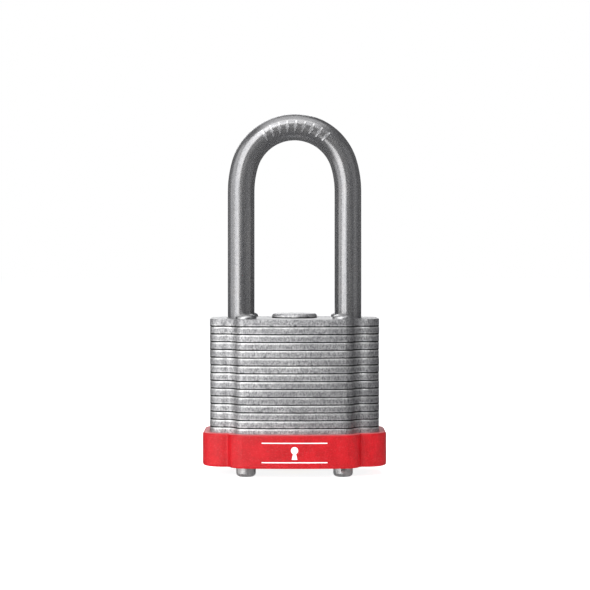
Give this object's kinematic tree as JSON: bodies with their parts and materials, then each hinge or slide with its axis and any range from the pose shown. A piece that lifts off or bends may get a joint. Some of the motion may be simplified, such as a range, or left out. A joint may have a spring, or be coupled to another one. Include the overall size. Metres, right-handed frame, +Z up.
{
  "type": "keyed laminated padlock",
  "caption": "Keyed padlock: a block of riveted steel plates with stepped sides, a long round steel shackle, a plastic bumper round the base and a pin tumbler cylinder that draws two bolts.",
  "frame": {"origin": "midway between the four rivet feet, on the plane that they stand on", "axes": "+X to the right across the body, towards the toe leg; -Y is the front; +Z up along the shackle's legs"},
  "size_m": [0.0434, 0.0284, 0.0859],
  "materials": {
    "plate_steel": "zinc plated, sheared and tumbled edges",
    "rivet_steel": "bright zinc",
    "red_plastic": "fine grain, semi-matte",
    "shackle_steel": "satin hardened steel",
    "spring_steel": "drawn wire and stamped strip",
    "brass": "machined",
    "bolt_steel": "machined and zinc plated"
  },
  "bodies": {
    "lock_body": {"bottom_plate": "plate_steel", "body_plate_02": "plate_steel", "body_plate_03": "plate_steel", "body_plate_04": "plate_steel", "body_plate_05": "plate_steel", "body_plate_06": "plate_steel", "body_plate_07": "plate_steel", "body_plate_08": "plate_steel", "body_plate_09": "plate_steel", "body_plate_10": "plate_steel", "body_plate_11": "plate_steel", "body_plate_12": "plate_steel", "body_plate_13": "plate_steel", "body_plate_14": "plate_steel", "body_plate_15": "plate_steel", "body_plate_16": "plate_steel", "body_plate_17": "plate_steel", "body_plate_18": "plate_steel", "top_plate": "plate_steel", "rivet_front_left": "rivet_steel", "rivet_front_right": "rivet_steel", "rivet_rear_left": "rivet_steel", "rivet_rear_right": "rivet_steel", "bumper": "red_plastic", "cylinder_housing": "brass", "chamber_cover": "brass", "shackle_spring": "spring_steel", "pin_spring_1": "spring_steel", "pin_spring_2": "spring_steel", "pin_spring_3": "spring_steel", "pin_spring_4": "spring_steel", "left_bolt_spring": "spring_steel", "right_bolt_spring": "spring_steel"},
    "shackle": {"shackle": "shackle_steel", "shackle_ring": "spring_steel"},
    "plug": {"plug": "brass", "plug_clip": "spring_steel", "cam": "bolt_steel"},
    "left_bolt": {"left_bolt": "bolt_steel"},
    "right_bolt": {"right_bolt": "bolt_steel"},
    "key_pin_1": {"key_pin_1": "brass"},
    "key_pin_2": {"key_pin_2": "brass"},
    "key_pin_3": {"key_pin_3": "brass"},
    "key_pin_4": {"key_pin_4": "brass"},
    "driver_pin_1": {"driver_pin_1": "bolt_steel"},
    "driver_pin_2": {"driver_pin_2": "bolt_steel"},
    "driver_pin_3": {"driver_pin_3": "bolt_steel"},
    "driver_pin_4": {"driver_pin_4": "bolt_steel"}
  },
  "joints": [
    {"name": "shackle_lift", "type": "slide", "parent": "lock_body", "child": "shackle", "axis": [0, 0, 1], "range_m": [0, 0.0105], "deforming": ["shackle_spring"]},
    {"name": "plug_turn", "type": "hinge", "parent": "lock_body", "child": "plug", "pos_m": [0, 0.0012, 0], "axis": [0, 0, -1], "range_deg": [0, 90]},
    {"name": "left_bolt_slide", "type": "slide", "parent": "lock_body", "child": "left_bolt", "axis": [-1, 0, 0], "range_m": [0, 0.00175], "deforming": ["left_bolt_spring"]},
    {"name": "right_bolt_slide", "type": "slide", "parent": "lock_body", "child": "right_bolt", "axis": [1, 0, 0], "range_m": [0, 0.00175], "deforming": ["right_bolt_spring"]},
    {"name": "driver_pin_1_slide", "type": "slide", "parent": "lock_body", "child": "driver_pin_1", "axis": [0, -1, 0], "range_m": [0, 0.0012], "stiffness_N_per_m": 60, "deforming": ["pin_spring_1"]},
    {"name": "driver_pin_2_slide", "type": "slide", "parent": "lock_body", "child": "driver_pin_2", "axis": [0, -1, 0], "range_m": [0, 0.0012], "stiffness_N_per_m": 60, "deforming": ["pin_spring_2"]},
    {"name": "driver_pin_3_slide", "type": "slide", "parent": "lock_body", "child": "driver_pin_3", "axis": [0, -1, 0], "range_m": [0, 0.0012], "stiffness_N_per_m": 60, "deforming": ["pin_spring_3"]},
    {"name": "driver_pin_4_slide", "type": "slide", "parent": "lock_body", "child": "driver_pin_4", "axis": [0, -1, 0], "range_m": [0, 0.0012], "stiffness_N_per_m": 60, "deforming": ["pin_spring_4"]},
    {"name": "key_pin_1_slide", "type": "slide", "parent": "plug", "child": "key_pin_1", "axis": [-1, 0, 0], "range_m": [0, 0.0009]},
    {"name": "key_pin_2_slide", "type": "slide", "parent": "plug", "child": "key_pin_2", "axis": [-1, 0, 0], "range_m": [0, 0.0017]},
    {"name": "key_pin_3_slide", "type": "slide", "parent": "plug", "child": "key_pin_3", "axis": [-1, 0, 0], "range_m": [0, 0.0005]},
    {"name": "key_pin_4_slide", "type": "slide", "parent": "plug", "child": "key_pin_4", "axis": [-1, 0, 0], "range_m": [0, 0.0013]}
  ],
  "couplings": [
    {"joint": "left_bolt_slide", "follows": "plug_turn", "m_per_rad": 0.001114},
    {"joint": "right_bolt_slide", "follows": "plug_turn", "m_per_rad": 0.001114}
  ]
}
